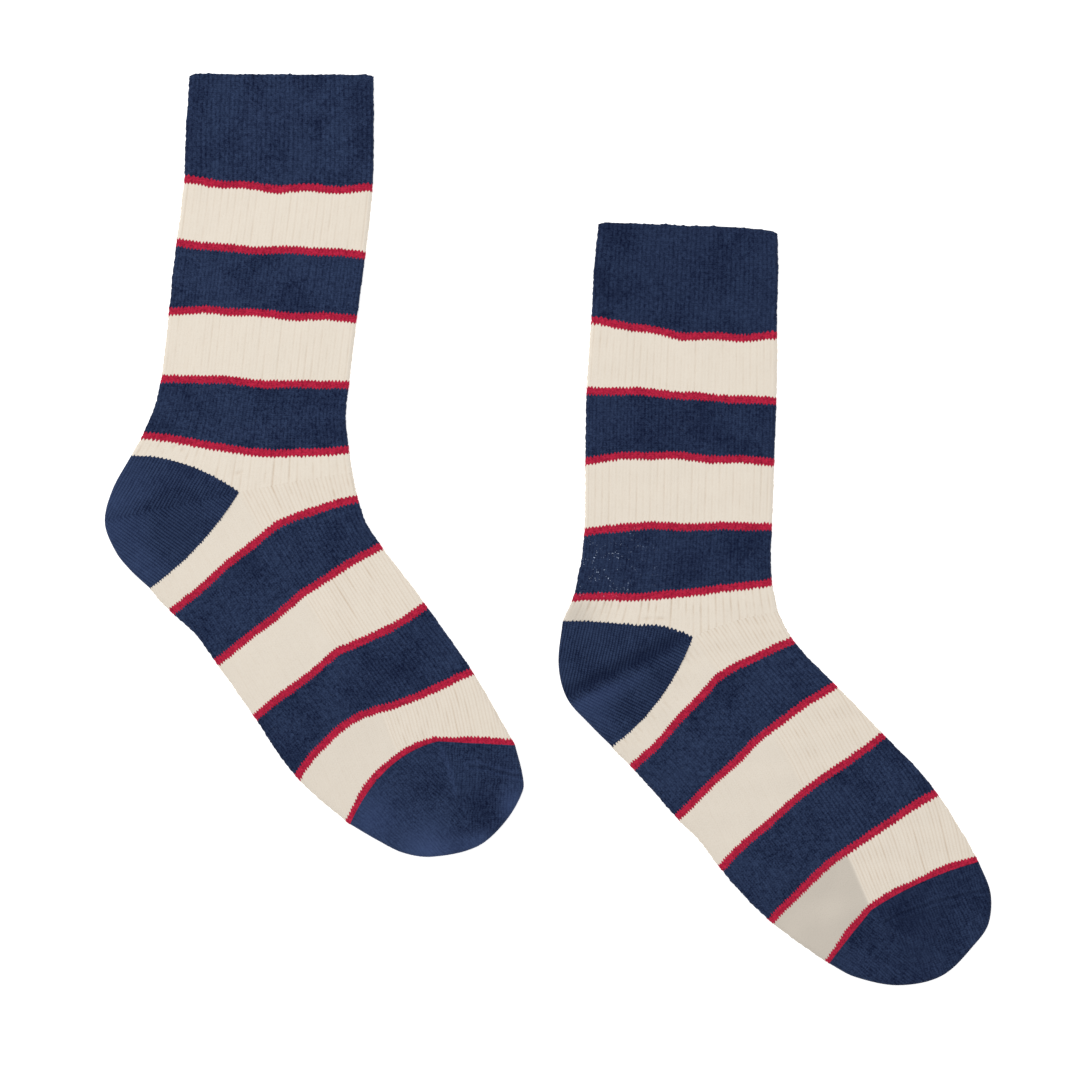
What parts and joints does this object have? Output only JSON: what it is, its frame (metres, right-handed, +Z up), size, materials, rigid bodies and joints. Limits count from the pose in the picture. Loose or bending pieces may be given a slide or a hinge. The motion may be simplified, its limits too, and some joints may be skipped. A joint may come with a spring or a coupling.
{
  "type": "pair of socks",
  "caption": "Ribbed crew socks with plain heels and toes, lying flat side by side, in navy and cream bands with thin red lines.",
  "frame": {"origin": "bottom centre of the box round both socks, on the surface that they lie on", "axes": "+Z up from the surface, +Y from the toes towards the cuffs, +X to the right as seen from above, away from the heels"},
  "size_m": [0.4072, 0.4194, 0.0046],
  "materials": {
    "cuff_rib": "1x1 rib knit cotton, matt navy",
    "leg_rib": "2x1 rib knit cotton, matt, cream and navy bands with red lines",
    "heel_plain": "plain knit cotton, matt navy",
    "foot_knit": "plain sole and ribbed instep, matt, cream and navy bands with red lines",
    "toe_plain": "plain knit cotton, matt navy"
  },
  "bodies": {
    "root": {"sock_a_cuff": "cuff_rib", "sock_a_leg": "leg_rib", "sock_a_heel": "heel_plain", "sock_a_foot": "foot_knit", "sock_a_toe": "toe_plain", "sock_b_cuff": "cuff_rib", "sock_b_leg": "leg_rib", "sock_b_heel": "heel_plain", "sock_b_foot": "foot_knit", "sock_b_toe": "toe_plain"}
  },
  "joints": []
}
